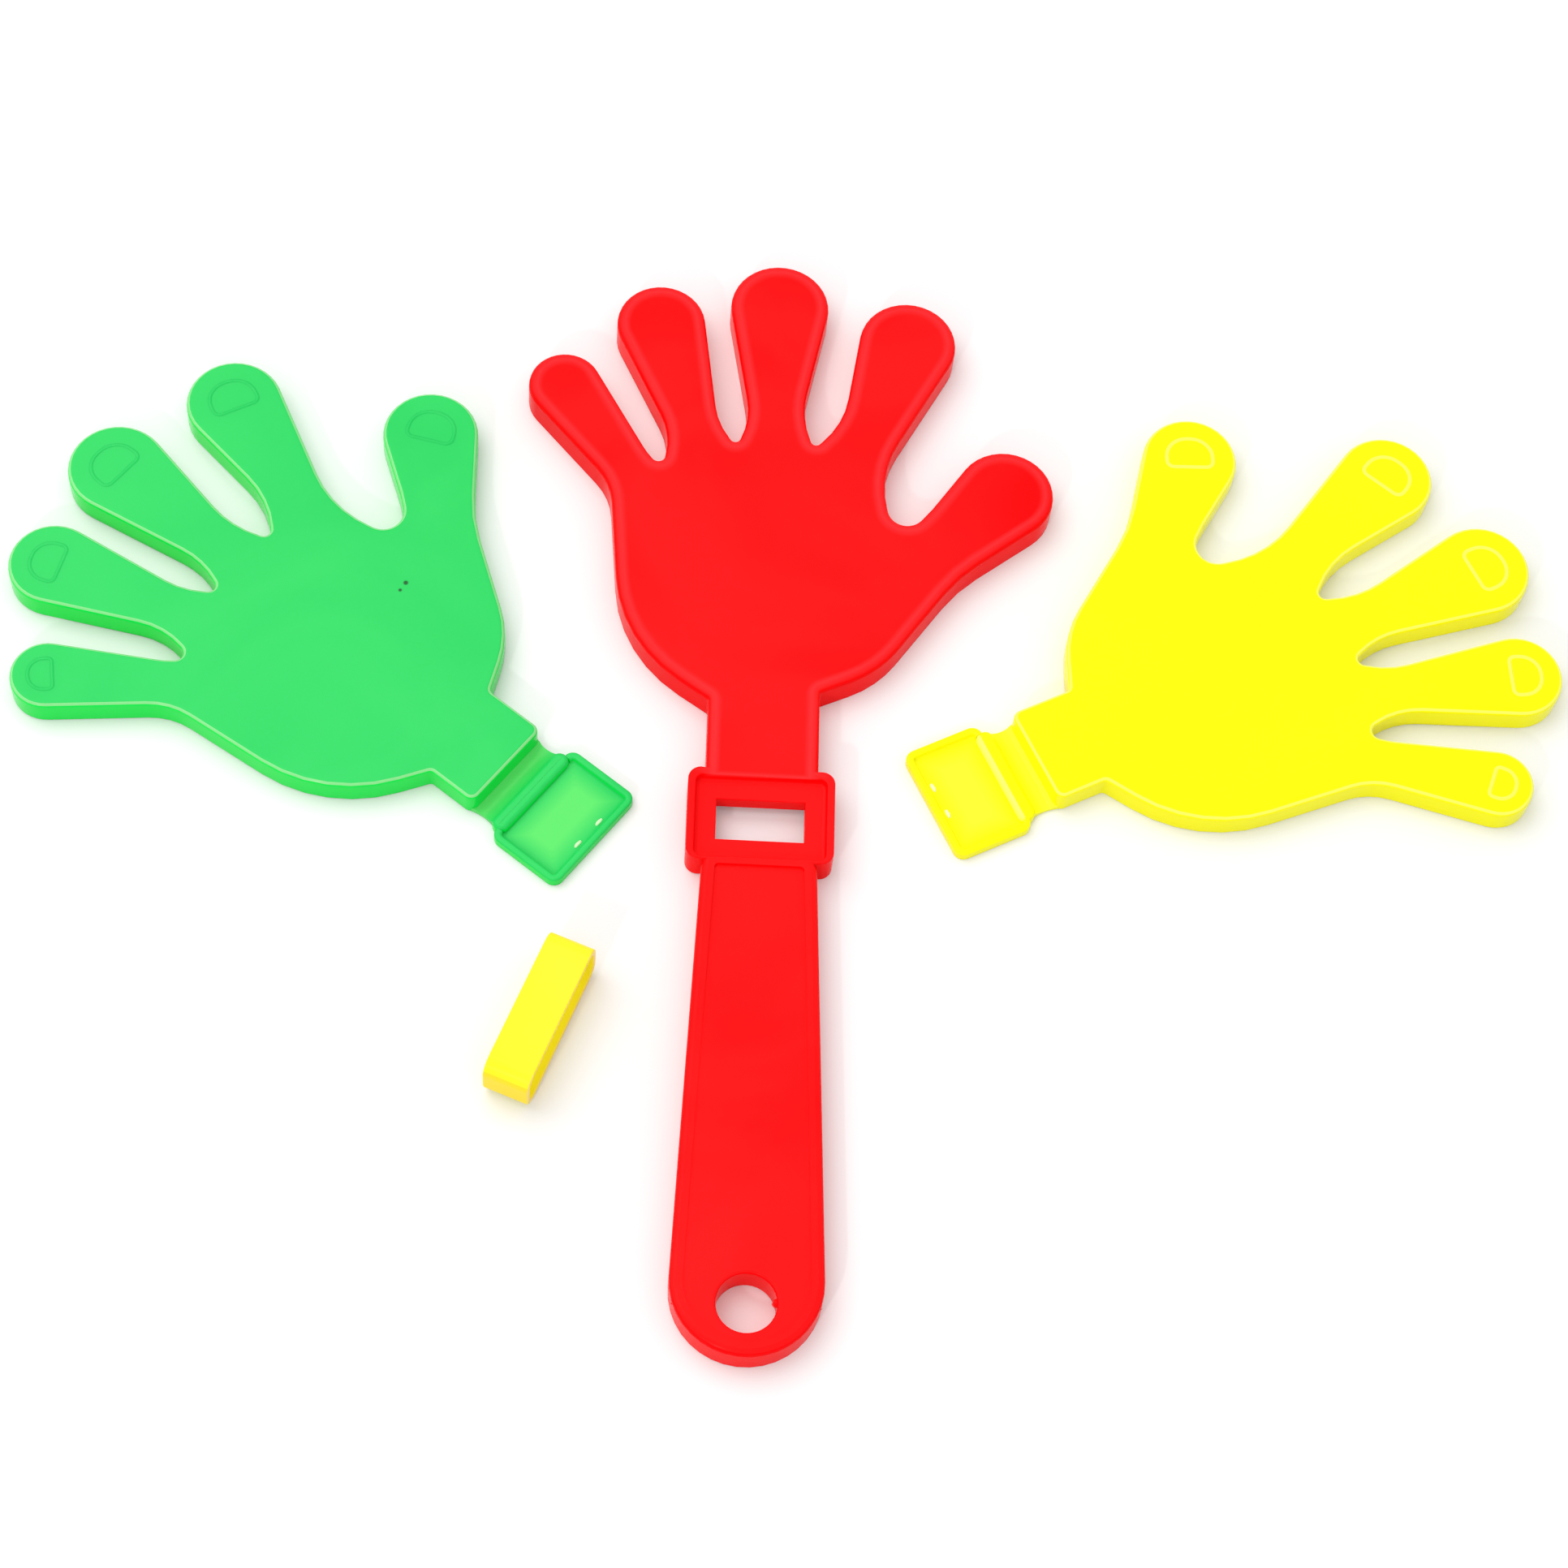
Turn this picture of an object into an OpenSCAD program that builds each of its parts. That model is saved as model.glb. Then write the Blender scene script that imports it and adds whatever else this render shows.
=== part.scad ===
/* [Hand plate] */
// Thickness of the centre hand, its neck, frame and handle
plate_t = 8.6; // [8:0.1:10]
// Thickness of an outer hand
outer_t = 7; // [6:0.1:9]
// How much smaller an outer hand's outline is than the centre hand's, all round
outer_inset = 0.3; // [0.2:0.1:0.8]
// Thickness of the moulded skin over an open back
skin_t = 2; // [1.5:0.1:2.4]
// Thickness of the side walls round an open back
wall_t = 1.8; // [1.2:0.1:2.2]
// Sideways place of the palm's middle from the middle of the neck
palm_x = 0.4; // [-0.5:0.1:1]
// Distance from the wrist to the middle of the palm
palm_y = 33; // [31:0.5:35]
// Radius of the palm on the pinky side
palm_left_r = 36.5; // [33.5:0.5:37]
// Rise of the pinky side's round above the middle of the palm
palm_left_rise = 1.5; // [0:0.5:2]
// Radius of the palm on the thumb side
palm_right_r = 27; // [25:0.5:27]
// Sideways place of the thumb side's round of the palm
palm_right_x = 9; // [8:0.5:12]
// Drop of the thumb side's round below the middle of the palm
palm_right_drop = 2.5; // [2:0.5:5]
// Radius of the fillets where the palm meets the neck
wrist_r = 1; // [0.6:0.1:2]
// Height of the thumb side's wrist fillet above the pinky side's
wrist_step = 3; // [1:0.5:4]
// Radius of the corners at the free end of an outer hand's neck
neck_corner_r = 2.6; // [2.5:0.1:4]

/* [Fingers] */
// Turn of the pinky from straight up, towards its own side
pinky_turn = 45; // [42:0.5:47]
// Distance from the palm's middle to the pinky's tip centre
pinky_reach = 72; // [68:0.5:80]
// Radius of the pinky's tip
pinky_r = 8.8; // [7.6:0.1:9.6]
// Turn of the ring finger
ring_turn = 22; // [20:0.5:24]
// Distance from the palm's middle to the ring finger's tip centre
ring_reach = 75.5; // [70:0.5:84]
// Radius of the ring finger's tip
ring_r = 10.8; // [9.6:0.1:11.6]
// Turn of the middle finger
middle_turn = -0.5; // [-2:0.5:1]
// Distance from the palm's middle to the middle finger's tip centre
middle_reach = 76.5; // [70:0.5:86]
// Radius of the middle finger's tip
middle_r = 12; // [11:0.1:12.6]
// Turn of the index finger, towards the thumb
index_turn = 25.5; // [24:0.5:28]
// Distance from the palm's middle to the index finger's tip centre
index_reach = 75; // [69:0.5:82]
// Radius of the index finger's tip
index_r = 11.8; // [10.8:0.1:12.6]
// Turn of the thumb
thumb_turn = 65; // [63:0.5:68]
// Distance from the palm's middle to the thumb's tip centre
thumb_reach = 62; // [58:0.5:67]
// Radius of the thumb's tip
thumb_r = 11.7; // [10.6:0.1:12.4]

/* [Finger gaps] */
// Straight run between the bottom of a gap and its bowed flanks
gap_run = 0.6; // [0.4:0.1:1.2]
// Turn of the bottom of the gap between pinky and ring finger
gap1_turn = 40.5; // [39.5:0.5:41.5]
// Distance from the palm's middle to the round at its bottom
gap1_reach = 42.5; // [41:0.5:46]
// Radius of that round
gap1_r = 1.6; // [1:0.1:2.4]
// Lean of the gap from straight up
gap1_lean = 15; // [13:0.5:17]
// Width of the gap at its belly
gap1_w = 7; // [6.2:0.2:7.8]
// Radius of its bowed flanks
gap1_flank_r = 18; // [15:0.5:21]
// Turn of the bottom of the gap between ring and middle finger
gap2_turn = 13.5; // [12.5:0.5:14.5]
// Distance from the palm's middle to the round at its bottom
gap2_reach = 39.5; // [38:0.5:43]
// Radius of that round
gap2_r = 1.2; // [1:0.1:2.4]
// Lean of the gap from straight up
gap2_lean = 7; // [5:0.5:9]
// Width of the gap at its belly
gap2_w = 7.8; // [7:0.2:8.6]
// Radius of its bowed flanks
gap2_flank_r = 20; // [17:0.5:23]
// Turn of the bottom of the gap between middle and index finger
gap3_turn = 15; // [14:0.5:16]
// Distance from the palm's middle to the round at its bottom
gap3_reach = 40; // [38.5:0.5:43.5]
// Radius of that round
gap3_r = 1.2; // [1:0.1:2.4]
// Lean of the gap from straight up
gap3_lean = 11.5; // [9.5:0.5:13.5]
// Width of the gap at its belly
gap3_w = 10; // [9:0.2:11]
// Radius of its bowed flanks
gap3_flank_r = 24; // [20:0.5:27]
// Turn of the bottom of the gap between index finger and thumb
gap4_turn = 57.5; // [56.5:0.5:58.5]
// Distance from the palm's middle to the round at its bottom
gap4_reach = 38.5; // [37:0.5:41]
// Radius of that round
gap4_r = 4.5; // [3.6:0.1:5.4]
// Lean of the gap from straight up
gap4_lean = 14.5; // [12.5:0.5:16.5]
// Width of the gap at its belly
gap4_w = 14.8; // [13.4:0.2:16.2]
// Radius of its bowed flanks
gap4_flank_r = 27; // [24:0.5:30]
// Turn of the notch where the pinky meets the side of the palm
notch_turn = 72.5; // [71.5:0.5:73.5]
// Distance from the palm's middle to the notch's centre
notch_reach = 57; // [56.4:0.1:58.4]
// Radius of the notch
notch_r = 16.2; // [14:0.1:17]
// Sideways place of the hollow under the thumb
hollow_x = 75; // [73:0.5:77]
// Drop of that hollow's centre below the middle of the palm
hollow_drop = 25; // [23:0.5:27]
// Radius of the hollow under the thumb
hollow_r = 40; // [38:0.5:42]

/* [Centre hand] */
// Width of the neck
neck_w = 26; // [23:0.5:29]
// Length of the neck between the frame and the wrist
neck_len = 18.5; // [12:0.5:24]
// Width of the raised rim round the hand's face
rim_w = 2; // [1.4:0.1:2.4]
// Depth of the hand's face below its rim
face_depth = 0.6; // [0.4:0.1:1.2]
// Width of the frame block
frame_w = 34; // [32:0.5:37]
// Length of the frame block
frame_len = 23.5; // [22:0.5:28]
// Radius of the frame block's corners
frame_corner_r = 3; // [2:0.5:5]
// Width of the frame's raised lip at its sides
lip_w = 1.8; // [1.4:0.1:2.4]
// Width of the lip at the frame's lower edge
lower_lip_w = 0.8; // [0.6:0.1:1.6]
// Width of the lip at the frame's upper edge
upper_lip_w = 2; // [0.8:0.1:3]
// Depth of the seat inside the lip, on each face
seat_depth = 2.2; // [1.6:0.1:2.6]
// Width of the window through the frame
window_w = 20.5; // [16:0.5:24]
// Height of the window
window_h = 10.2; // [8:0.1:12]
// Distance from the frame's lower edge to the window
window_up = 6.2; // [4:0.1:7]

/* [Handle] */
// Distance from the hang hole to the frame's lower edge
handle_len = 105.5; // [80:0.5:130]
// Width of the handle where it meets the frame
handle_top_w = 26.6; // [24:0.2:30]
// Radius of the handle's round end
handle_end_r = 17; // [15:0.5:17]
// Distance from the hang hole up to the centre of the round end
end_rise = 5; // [2:0.5:6]
// Diameter of the hang hole
hole_d = 13.4; // [8:0.2:14]
// Width of the border round the handle's panel
border_w = 3; // [2:0.1:4]
// Depth of the handle's panel
panel_depth = 0.4; // [0.3:0.1:1.4]
// Radius of the upper corners of the panel
panel_corner_r = 1; // [0.6:0.1:2]

/* [Outer hands] */
// Width of an outer hand's neck
outer_neck_w = 25.2; // [21:0.2:27]
// Length of an outer hand's neck
outer_neck_len = 13; // [9:0.5:16]
// Length of the thin hinge web
web_len = 5; // [4:0.1:6]
// Thickness of the hinge web
web_t = 1; // [0.8:0.1:1.2]
// Width of the hinge web
web_w = 22.5; // [18:0.5:24]
// Width of the rib behind the web
rib_w = 24; // [20:0.5:26]
// Length of the rib along the tongue
rib_len = 3.5; // [2.5:0.1:4.5]
// Height of the rib above the tongue's underside
rib_t = 3; // [2.2:0.1:3.1]
// Height of the tongue's rim
tongue_t = 2.6; // [2:0.1:3]
// Thickness of the tongue's floor
floor_t = 1.2; // [0.8:0.1:1.6]
// Width of the tongue's rim
tongue_rim_w = 1.8; // [1.2:0.1:2.6]
// Radius of the tongue's corners
tongue_corner_r = 2.5; // [1:0.1:3.5]
// Radius of the corners of the tray in the tongue
tray_corner_r = 1.2; // [0.6:0.1:2]

/* [Band] */
// Width of the band
band_w = 11; // [7:0.1:12]
// Thickness of the band's wall
band_t = 1.5; // [1:0.1:2]
// Inside radius of the band's corners
band_corner_r = 2.5; // [1.5:0.1:3.5]

/* [Fits] */
// Play of the tongue in the frame's seat, on each side
seat_play = 0.5; // [0.2:0.1:0.8]
// Play of the band over the frame and the stacked tongues, on each side
band_play = 0.4; // [0.2:0.1:0.8]
// Gap that parts the hinge web from the pieces it joins
web_gap = 0.02; // [0.01:0.01:0.05]

/* [Layout] */
// Sideways place of the green hand's hinge from the hang hole
green_x = -56.5; // [-72:0.5:-50]
// Place of the green hand's hinge along the handle
green_y = 126; // [110:0.5:140]
// Turn of the green hand
green_turn = 53; // [45:1:75]
// Sideways place of the yellow hand's hinge from the hang hole
yellow_x = 61; // [54:0.5:75]
// Place of the yellow hand's hinge along the handle
yellow_y = 135.5; // [120:0.5:150]
// Turn of the yellow hand
yellow_turn = 63; // [55:1:80]
// Sideways place of the band's middle from the hang hole
band_x = -48; // [-60:0.5:-42]
// Place of the band's middle along the handle
band_y = 65; // [50:0.5:75]
// Lean of the band from the handle's direction
band_lean = 21; // [0:1:45]

/* [Hidden] */
$fn = 64;
red = [0.99, 0.12, 0.12];
green = [0.25, 0.9, 0.45];
yellow = [1, 1, 0.1];
// Largest turn between two points of an outline's arc
arc_step = 10;
// Reach of a cut past the face that it opens
over = 1;
// Small overlap of pieces that are moulded in one
bond = 2;

frame_top = handle_len + frame_len;
wrist_y = frame_top + neck_len;
seat_w = frame_w - 2 * lip_w;
seat_len = frame_len - lower_lip_w - upper_lip_w;
window_y = handle_len + window_up + window_h / 2;
handle_corner_r = border_w + panel_corner_r;
// The hand's face ends inside the frame's seat
face_len = neck_len + upper_lip_w + 2 * rim_w;
tongue_w = seat_w - 2 * seat_play;
tongue_len = seat_len - 2 * seat_play;
// Tongues and frame, clamped together by the band
stack_t = plate_t - 2 * seat_depth + 2 * tongue_t;
band_in_w = frame_w + 2 * band_play;
band_in_h = stack_t + 2 * band_play;
rib_start = -web_len / 2 - web_gap;
// The plate of the tongue ends under the middle of the rib
plate_top = rib_start - rib_len / 2;

// A place at a turn from straight up (positive to the pinky's side) and a reach from the palm's middle
function around_palm(turn, reach) = [palm_x - reach * sin(turn), palm_y + reach * cos(turn)];

// One round of an outline: its centre, and its radius (positive where it bends inwards)
function round_in(at, r) = [at[0], at[1], r];
function round_out(at, r) = [at[0], at[1], -r];

// The rounds of a teardrop gap, from its flank on the pinky's side: flank, bottom, flank
function gap_rounds(turn, reach, r, lean, w, flank_r) = let (
    bottom = around_palm(turn, reach),
    aside = flank_r - w / 2,
    up = sqrt(pow(flank_r - r, 2) + pow(gap_run, 2) - pow(aside, 2)),
    belly = bottom + up * [-sin(lean), cos(lean)],
    across = aside * [cos(lean), sin(lean)]
) [round_in(belly + across, flank_r), round_in(bottom, r), round_in(belly - across, flank_r)];

// The rounds of a hand, clockwise from its neck's end on the pinky's side
function hand_rounds(width, length) = let (side = width / 2) concat([
    round_out([neck_corner_r - side, neck_corner_r - length], neck_corner_r),
    round_in([-side - wrist_r, -wrist_r], wrist_r),
    round_out([palm_x, palm_y + palm_left_rise], palm_left_r),
    round_in(around_palm(notch_turn, notch_reach), notch_r),
    round_out(around_palm(pinky_turn, pinky_reach), pinky_r)
], gap_rounds(gap1_turn, gap1_reach, gap1_r, gap1_lean, gap1_w, gap1_flank_r), [
    round_out(around_palm(ring_turn, ring_reach), ring_r)
], gap_rounds(gap2_turn, gap2_reach, gap2_r, gap2_lean, gap2_w, gap2_flank_r), [
    round_out(around_palm(middle_turn, middle_reach), middle_r)
], gap_rounds(-gap3_turn, gap3_reach, gap3_r, -gap3_lean, gap3_w, gap3_flank_r), [
    round_out(around_palm(-index_turn, index_reach), index_r)
], gap_rounds(-gap4_turn, gap4_reach, gap4_r, -gap4_lean, gap4_w, gap4_flank_r), [
    round_out(around_palm(-thumb_turn, thumb_reach), thumb_r),
    round_in([hollow_x, palm_y - hollow_drop], hollow_r),
    round_out([palm_right_x, palm_y - palm_right_drop], palm_right_r),
    round_in([side + wrist_r, wrist_step - wrist_r], wrist_r),
    round_out([side - neck_corner_r, neck_corner_r - length], neck_corner_r)
]);

// The rounds of the handle, clockwise from its upper corner on the pinky's side
function handle_rounds() = let (
    side = handle_top_w / 2 - handle_corner_r,
    up = handle_len + bond - handle_corner_r
) [
    round_out([-side, up], handle_corner_r),
    round_out([side, up], handle_corner_r),
    round_out([0, end_rise], handle_end_r)
];

// The rounds moved inwards by a width, for rims, walls and panels
function moved_in(rounds, width) = [for (r = rounds) [r[0], r[1], r[2] + width]];

// The outward direction of the straight run from one round to the next
function run_normal(a, b) = let (
    d = [b[0] - a[0], b[1] - a[1]],
    u = d / norm(d),
    k = (b[2] - a[2]) / norm(d)
) k * u + sqrt(1 - k * k) * [-u[1], u[0]];

// The turn along a round, counter-clockwise where it bends inwards
function arc_turn(start, end, r) = let (turn = end - start)
    r > 0 ? (turn < 0 ? turn + 360 : turn) : (turn > 0 ? turn - 360 : turn);

// The outline that runs round all rounds like a belt
function belt(rounds) = let (
    n = len(rounds),
    normals = [for (i = [0:n - 1]) run_normal(rounds[i], rounds[(i + 1) % n])]
) [for (i = [0:n - 1]) let (
    r = rounds[i],
    before = normals[(i + n - 1) % n],
    after = normals[i],
    start = atan2(before[1], before[0]),
    turn = arc_turn(start, atan2(after[1], after[0]), r[2]),
    steps = max(1, ceil(abs(turn) / arc_step))
) for (j = [0:steps]) let (a = start + turn * j / steps) [r[0] - r[2] * cos(a), r[1] - r[2] * sin(a)]];

module slab(rounds, z, t) {
    translate([0, 0, z]) linear_extrude(t) polygon(belt(rounds));
}

// A flat block with round upright corners, centred across X, from y upwards
module round_block(width, length, t, r) {
    translate([r - width / 2, 0, 0]) cube([width - 2 * r, length, t]);
    translate([-width / 2, r, 0]) cube([width, length - 2 * r, t]);
    for (x = [r - width / 2, width / 2 - r], y = [r, length - r])
        translate([x, y, 0]) cylinder(r = r, h = t);
}

// The frame's seat for a tongue, cut into one face
module seat() {
    translate([0, handle_len + lower_lip_w, 0])
        round_block(seat_w, seat_len, seat_depth + over, frame_corner_r - lip_w + seat_play);
}

module centre_hand() {
    hand = hand_rounds(neck_w, neck_len + neck_corner_r);
    face = hand_rounds(neck_w, face_len);
    back = hand_rounds(neck_w, neck_len);
    handle = handle_rounds();
    color(red) difference() {
        union() {
            translate([0, wrist_y, 0]) slab(hand, 0, plate_t);
            translate([0, handle_len, 0]) round_block(frame_w, frame_len, plate_t, frame_corner_r);
            slab(handle, 0, plate_t);
        }
        // The face inside the rim runs down the neck into the frame's seat
        translate([0, wrist_y, 0]) slab(moved_in(face, rim_w), plate_t - face_depth, face_depth + over);
        translate([0, wrist_y, 0])
            slab(moved_in(back, wall_t), -over, plate_t - face_depth - skin_t + over);
        translate([0, 0, plate_t - seat_depth]) seat();
        translate([0, 0, -over]) seat();
        translate([-window_w / 2, window_y - window_h / 2, 0]) cube([window_w, window_h, plate_t]);
        slab(moved_in(handle, border_w), plate_t - panel_depth, panel_depth + over);
        // The handle's open back leaves a boss round the hang hole
        difference() {
            slab(moved_in(handle, border_w), -over, plate_t - panel_depth - skin_t + over);
            translate([0, 0, -2 * over]) cylinder(d = hole_d + 2 * border_w, h = plate_t + 4 * over);
        }
        translate([0, 0, -over]) cylinder(d = hole_d, h = plate_t + 2 * over);
    }
}

// An outer hand about its hinge line: the hand lies along +Y and the tongue along -Y
module outer_hand() {
    rounds = moved_in(hand_rounds(outer_neck_w, outer_neck_len), outer_inset);
    translate([0, web_len / 2 + web_gap + outer_neck_len, 0]) difference() {
        slab(rounds, 0, outer_t);
        slab(moved_in(rounds, wall_t), -over, outer_t - skin_t + over);
    }
}

module outer_hinge() {
    translate([-web_w / 2, -web_len / 2, 0]) cube([web_w, web_len, web_t]);
}

module outer_tongue() {
    rib_r = rib_len / 2;
    difference() {
        translate([0, plate_top - tongue_len, 0])
            round_block(tongue_w, tongue_len, tongue_t, tongue_corner_r);
        translate([0, plate_top - tongue_len + tongue_rim_w, floor_t])
            round_block(tongue_w - 2 * tongue_rim_w, tongue_len, tongue_t, tray_corner_r);
    }
    for (x = [rib_r - rib_w / 2, rib_w / 2 - rib_r])
        translate([x, rib_start - rib_r, 0]) cylinder(r = rib_r, h = rib_t);
    translate([rib_r - rib_w / 2, rib_start - rib_len, 0]) cube([rib_w - rib_len, rib_len, rib_t]);
}

module at_green() {
    translate([green_x, green_y, 0]) rotate(green_turn) children();
}

// The yellow hand is the green one's mirror image
module at_yellow() {
    translate([yellow_x, yellow_y, 0]) rotate(-yellow_turn) mirror([1, 0, 0]) children();
}

module green_hand() { color(green) at_green() outer_hand(); }
module green_hinge() { color(green) at_green() outer_hinge(); }
module green_tongue() { color(green) at_green() outer_tongue(); }
module yellow_hand() { color(yellow) at_yellow() outer_hand(); }
module yellow_hinge() { color(yellow) at_yellow() outer_hinge(); }
module yellow_tongue() { color(yellow) at_yellow() outer_tongue(); }

// The band lies on one of its long sides
module clamp_band() {
    out_r = band_corner_r + band_t;
    color(yellow) translate([band_x, band_y, 0]) rotate(90 - band_lean) rotate([90, 0, 0])
        translate([0, 0, -band_w / 2]) difference() {
            round_block(band_in_w + 2 * band_t, band_in_h + 2 * band_t, band_w, out_r);
            translate([0, band_t, -over])
                round_block(band_in_w, band_in_h, band_w + 2 * over, band_corner_r);
        }
}

centre_hand();
green_hand();
green_hinge();
green_tongue();
yellow_hand();
yellow_hinge();
yellow_tongue();
clamp_band();
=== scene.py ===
import math
import bpy
import bmesh
from mathutils import Matrix, Quaternion, Vector


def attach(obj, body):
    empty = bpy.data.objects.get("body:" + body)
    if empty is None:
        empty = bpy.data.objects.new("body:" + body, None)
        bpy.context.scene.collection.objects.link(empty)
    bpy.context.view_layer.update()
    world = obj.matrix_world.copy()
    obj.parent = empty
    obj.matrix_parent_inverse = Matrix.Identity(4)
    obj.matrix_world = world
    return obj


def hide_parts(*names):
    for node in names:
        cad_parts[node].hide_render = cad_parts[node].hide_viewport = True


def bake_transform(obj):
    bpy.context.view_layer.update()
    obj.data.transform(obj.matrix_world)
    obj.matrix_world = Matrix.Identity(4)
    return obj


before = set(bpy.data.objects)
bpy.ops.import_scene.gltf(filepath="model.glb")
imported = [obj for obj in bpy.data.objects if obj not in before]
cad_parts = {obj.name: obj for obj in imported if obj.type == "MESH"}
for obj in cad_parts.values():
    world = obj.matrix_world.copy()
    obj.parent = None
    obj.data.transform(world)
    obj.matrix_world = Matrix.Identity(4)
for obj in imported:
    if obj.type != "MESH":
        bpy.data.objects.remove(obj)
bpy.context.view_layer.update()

scene = bpy.context.scene
mm = 0.001  # the dictionaries are in millimetres and degrees, but for the studio's metres
print("frame loaded:", len(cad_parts), "nodes")

# camera, fitted to the photograph
cameraSetup = {
    "place": (-33.15, -270.7, 791.75),
    "aim": (5.53, 129.72, 0.0),
    "lens": 87.52,
    "sensor": 36,
    "roll": 7.696,
    "clipStart": 10,
}


def addCamera(setup):
    data = bpy.data.cameras.new("photoCamera")
    data.sensor_width = setup["sensor"]
    data.lens = setup["lens"]
    data.clip_start = setup["clipStart"] * mm
    camera = bpy.data.objects.new("photoCamera", data)
    place = Vector(setup["place"]) * mm
    look = (Vector(setup["aim"]) * mm - place).to_track_quat("-Z", "Y")
    turn = look @ Quaternion((0, 0, 1), math.radians(setup["roll"]))
    camera.location = place
    camera.rotation_euler = turn.to_euler()
    scene.collection.objects.link(camera)
    scene.camera = camera


addCamera(cameraSetup)
print("camera set")


# shared mesh helpers, and the slack with which they find faces and edges

weldGap = 0.002 * mm
sameGap = 0.01 * mm
levelGap = 0.05 * mm
placeGap = 0.1 * mm
flatTurn = math.radians(1)  # faces that meet at less are one flat face
sharpTurn = math.radians(40)  # edges that turn more can be rounded
shadeTurn = math.radians(46)
facing = 0.7  # share of a normal that counts as facing a way
flat = 0.99  # the same for a level face
wallTilt = 0.5  # a wall's normal has less than this upwards


def wholeOf(bm):
    return bm.verts[:] + bm.edges[:] + bm.faces[:]


def cornersOf(faces):
    return {corner for face in faces for corner in face.verts}


def movedCorners(extruded):
    return [item for item in extruded["geom"] if isinstance(item, bmesh.types.BMVert)]


def share(value, start, end):
    # how far a value is on its way from start to end, from 0 to 1
    return max(0.0, min(1.0, (value - start) / (end - start)))


def copyOfNode(nodeName, cutsAlong=()):
    # a node's mesh in plain faces, cut across first so that no face has a hole in it
    bm = bmesh.new()
    bm.from_mesh(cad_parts[nodeName].data)
    bmesh.ops.remove_doubles(bm, verts=bm.verts[:], dist=weldGap)
    kept = set()
    for along in cutsAlong:
        cut = bmesh.ops.bisect_plane(
            bm, geom=wholeOf(bm), dist=weldGap, plane_co=(0, along * mm, 0), plane_no=(0, 1, 0))
        kept.update(item for item in cut["geom_cut"] if isinstance(item, bmesh.types.BMEdge))
    loose = [edge for edge in bm.edges if edge not in kept]
    bmesh.ops.dissolve_limit(bm, angle_limit=flatTurn, verts=bm.verts[:], edges=loose)
    return bm


def blockAt(size, along):
    # a block on the table, its middle this far along the hand's own axis
    wide, long, high = (value * mm for value in size)
    bm = bmesh.new()
    bmesh.ops.create_cube(bm, size=1)
    bmesh.ops.scale(bm, vec=(wide, long, high), verts=bm.verts[:])
    bmesh.ops.translate(bm, verts=bm.verts[:], vec=(0, along * mm, high / 2))
    return bm


def isSharp(edge):
    return len(edge.link_faces) == 2 and edge.calc_face_angle() > sharpTurn


def middleOf(edge):
    return (edge.verts[0].co + edge.verts[1].co) / 2


def sharpAbove(bm, height):
    return [edge for edge in bm.edges if isSharp(edge) and min(v.co.z for v in edge.verts) > height * mm]


def uprightEdges(bm, high):
    return [edge for edge in bm.edges if abs(edge.verts[0].co.z - edge.verts[1].co.z) > high / 2 * mm]


def roundEdges(bm, edges, radius, steps, clamped=False):
    return bmesh.ops.bevel(
        bm, geom=edges, offset=radius * mm, affect="EDGES", segments=steps, profile=0.5,
        clamp_overlap=clamped, material=-1)


def markShadedWalls(bm):
    # walls get painted shade, a deeper colour than the top's
    wall = bm.faces.layers.float.new("wall")
    for face in bm.faces:
        face[wall] = 1.0 if abs(face.normal.z) < wallTilt else 0.0


def addShell(bm, extra):
    # puts a finished small shell into a piece's mesh
    carrier = bpy.data.meshes.new("carrier")
    extra.to_mesh(carrier)
    extra.free()
    bm.from_mesh(carrier)
    bpy.data.meshes.remove(carrier)


def makePiece(bm, name, material, roundWidth=0, roundSteps=4):
    mesh = bpy.data.meshes.new(name)
    bm.to_mesh(mesh)
    bm.free()
    if "custom_normal" in mesh.attributes:
        mesh.attributes.remove(mesh.attributes["custom_normal"])  # those of the plain node
    mesh.shade_smooth()
    mesh.set_sharp_from_angle(angle=shadeTurn)
    mesh.materials.clear()
    mesh.materials.append(material)
    piece = bpy.data.objects.new(name, mesh)
    scene.collection.objects.link(piece)
    if roundWidth:
        bevel = piece.modifiers.new("roundEdges", "BEVEL")
        bevel.limit_method = "WEIGHT"
        bevel.offset_type = "OFFSET"
        bevel.width = roundWidth * mm
        bevel.segments = roundSteps
        bevel.profile = 0.5
        bevel.use_clamp_overlap = False
        bevel.loop_slide = False
        bevel.material = -1
    even = piece.modifiers.new("evenShading", "WEIGHTED_NORMAL")
    even.keep_sharp = True
    return piece


# moulded plastics

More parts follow.
